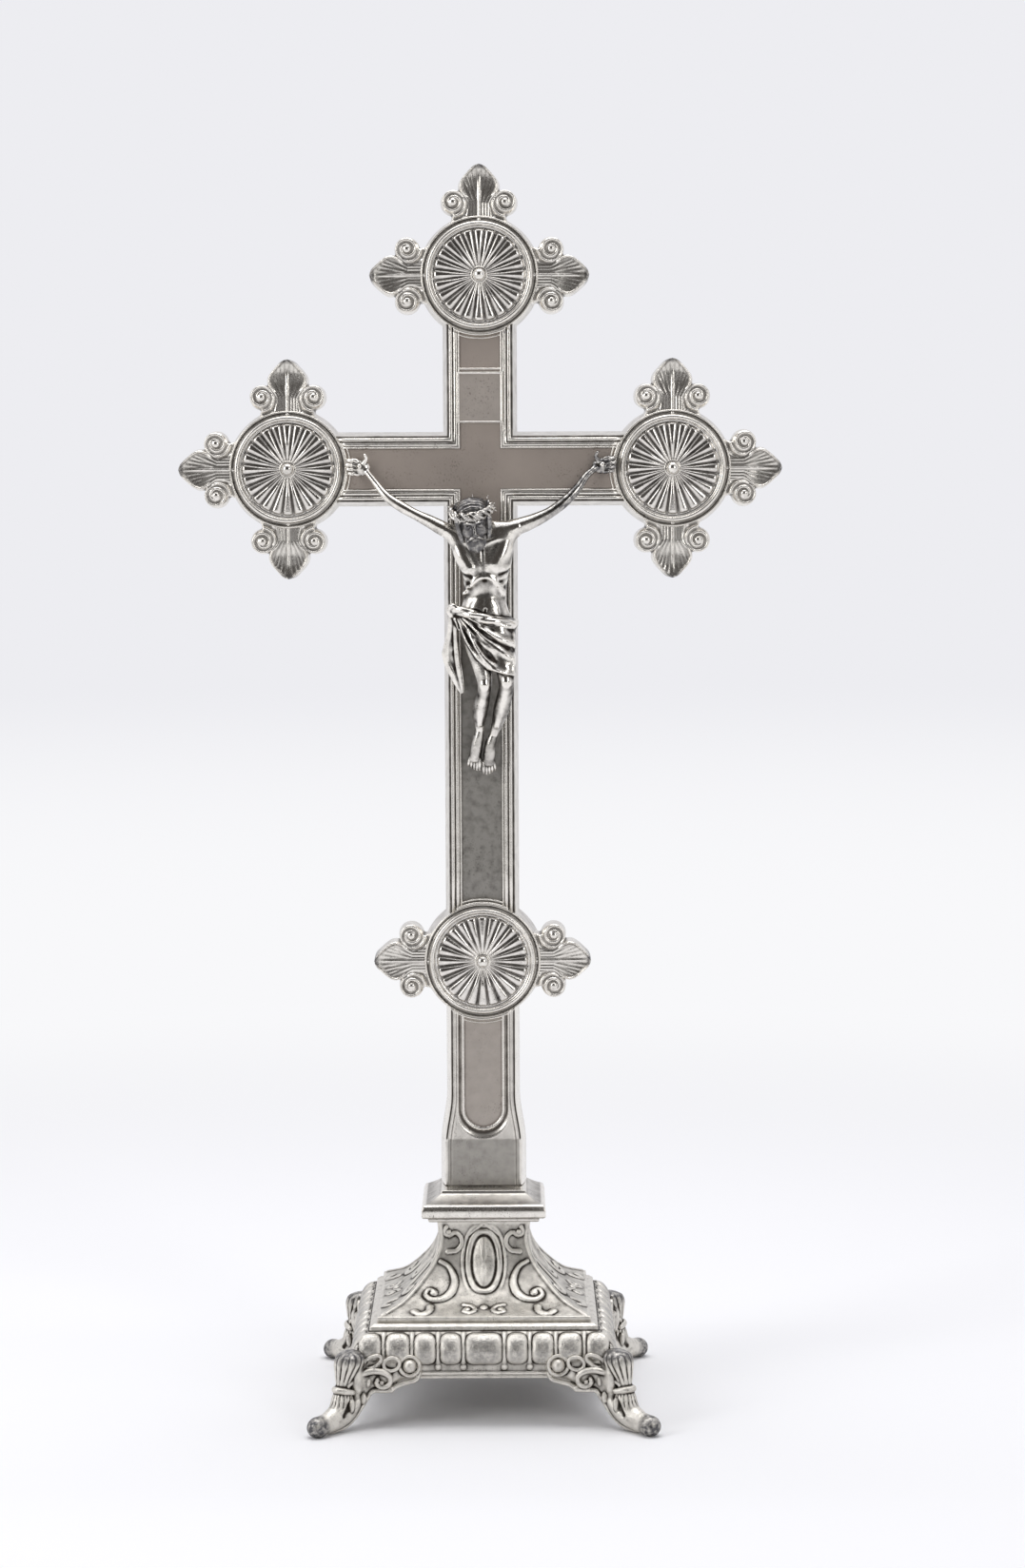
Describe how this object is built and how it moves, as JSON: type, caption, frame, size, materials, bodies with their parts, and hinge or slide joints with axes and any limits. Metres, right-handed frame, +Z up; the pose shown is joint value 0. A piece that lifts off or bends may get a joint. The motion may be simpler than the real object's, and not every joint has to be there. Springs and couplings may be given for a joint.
{
  "type": "standing altar crucifix",
  "caption": "Standing altar crucifix of cast silver-plated metal: roundel cross with leaf finials and nailed corpus on a square gadrooned base with cabriole feet.",
  "frame": {"origin": "centre of the base, on the table surface under the four feet", "axes": "+Z up along the shaft, the corpus faces -Y, +X to the viewer's right"},
  "size_m": [0.242, 0.1392, 0.5],
  "materials": {
    "silver_plate": "cast white metal with worn silver plate, dark patina in the recesses",
    "polished_plate": "cast white metal with rubbed, bright silver plate",
    "plain_steel": "plain dull steel",
    "bush_brass": "plain turned brass"
  },
  "bodies": {
    "root": {"cross_front_casting": "silver_plate", "cross_back_plate": "silver_plate", "top_rosette": "silver_plate", "left_rosette": "silver_plate", "right_rosette": "silver_plate", "lower_rosette": "silver_plate", "rosette_rivets": "silver_plate", "titulus_plate": "silver_plate", "plinth_cap": "silver_plate", "pedestal": "silver_plate", "skirt": "silver_plate", "front_left_foot": "silver_plate", "front_right_foot": "silver_plate", "rear_left_foot": "silver_plate", "rear_right_foot": "silver_plate", "corpus_body": "polished_plate", "corpus_left_arm": "polished_plate", "corpus_right_arm": "polished_plate", "left_hand_nail": "polished_plate", "right_hand_nail": "polished_plate", "feet_nails": "polished_plate", "foot_screws": "plain_steel", "tie_rod": "plain_steel", "tie_washer": "plain_steel", "tie_nut": "plain_steel", "bridge_bar": "plain_steel", "shaft_bush": "bush_brass"}
  },
  "joints": []
}
